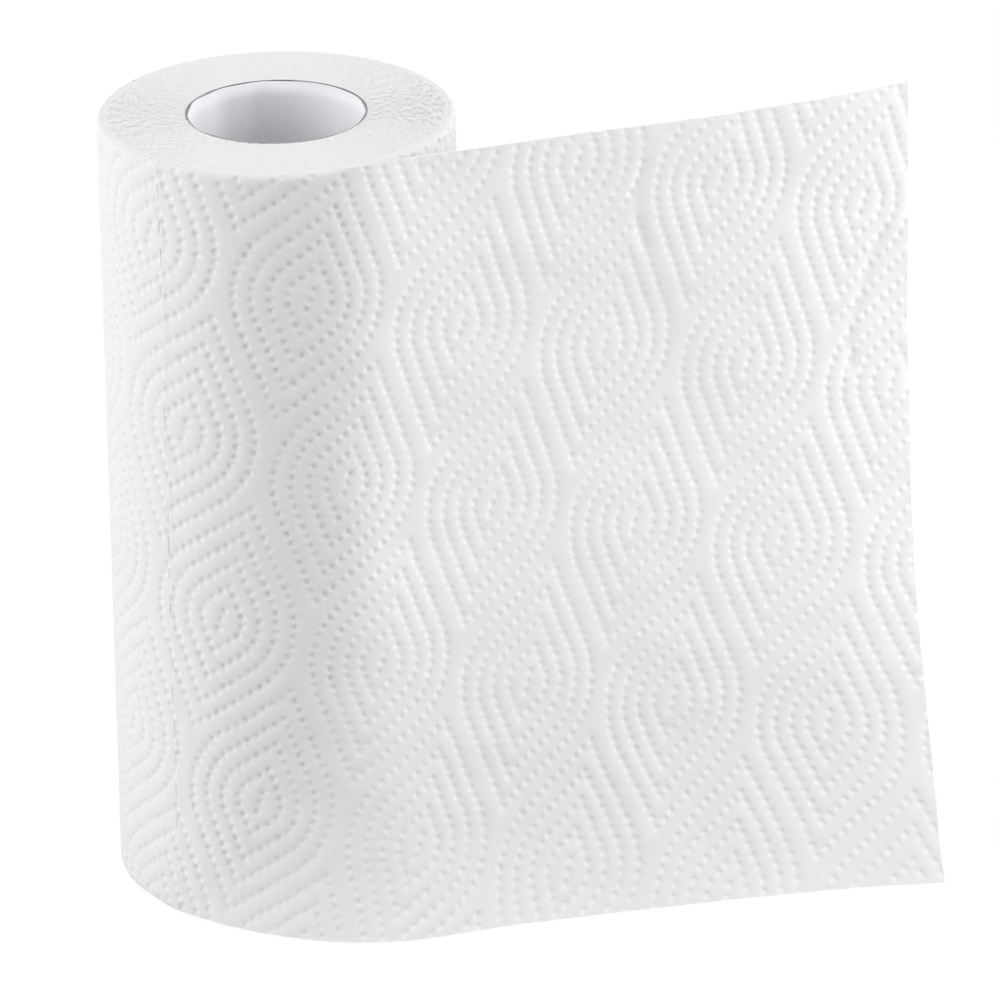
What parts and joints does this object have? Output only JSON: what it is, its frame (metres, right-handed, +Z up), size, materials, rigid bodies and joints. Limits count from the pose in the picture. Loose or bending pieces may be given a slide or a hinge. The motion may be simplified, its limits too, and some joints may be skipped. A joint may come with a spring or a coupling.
{
  "type": "paper towel roll",
  "caption": "Upright roll of embossed white paper towel on a cardboard core, its perforated outer sheet loosened and drawn off to one side.",
  "frame": {"origin": "on the roll's axis, in the plane that the roll stands on", "axes": "+Z up along the roll's axis and its core; the loose sheet leaves the roll on the -Y side and runs towards +X"},
  "size_m": [0.2326, 0.1108, 0.225],
  "materials": {
    "towel_paper": "matt, softly embossed",
    "core_board": "matt"
  },
  "bodies": {
    "root": {"paper_roll": "towel_paper", "core_tube": "core_board"}
  },
  "joints": []
}
